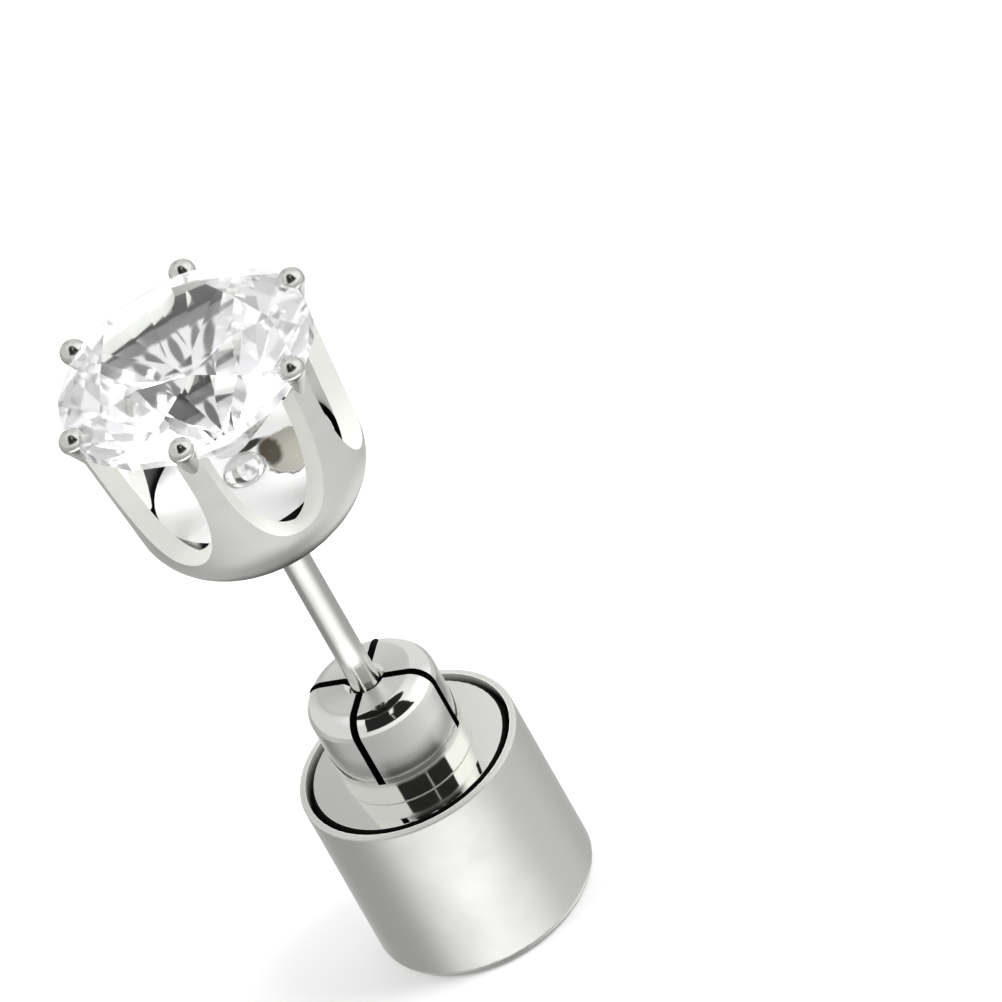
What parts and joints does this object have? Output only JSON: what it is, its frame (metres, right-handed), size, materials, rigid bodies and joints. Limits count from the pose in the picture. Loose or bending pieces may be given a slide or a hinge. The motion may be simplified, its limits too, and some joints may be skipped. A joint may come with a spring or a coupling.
{
  "type": "stud earring",
  "caption": "Light-up stud earring: round stone in a prong basket with a small light, on a straight post that plugs into a split collet on a round battery case.",
  "frame": {"origin": "centre of the battery case's flat end, which the earring stands on", "axes": "+Z along the post from the case to the stone; +X and +Y across it, with the first prong turned 11 degrees from +X towards +Y"},
  "size_m": [0.0086, 0.0084, 0.0238],
  "materials": {
    "case_steel": "satin, turned",
    "chuck_steel": "mirror polished",
    "post_steel": "polished",
    "setting_steel": "satin, with bright cut edges",
    "light_base_white": "smooth, pale",
    "light_clear": "clear, moulded",
    "stone_clear": "faceted and polished"
  },
  "bodies": {
    "back": {"case": "case_steel", "chuck": "chuck_steel"},
    "stud": {"post": "post_steel", "setting": "setting_steel", "light_base": "light_base_white", "light": "light_clear", "stone": "stone_clear"}
  },
  "joints": [
    {"name": "post_slide", "type": "slide", "parent": "back", "child": "stud", "axis": [0, 0, 1], "range_m": [0, 0.012]}
  ]
}
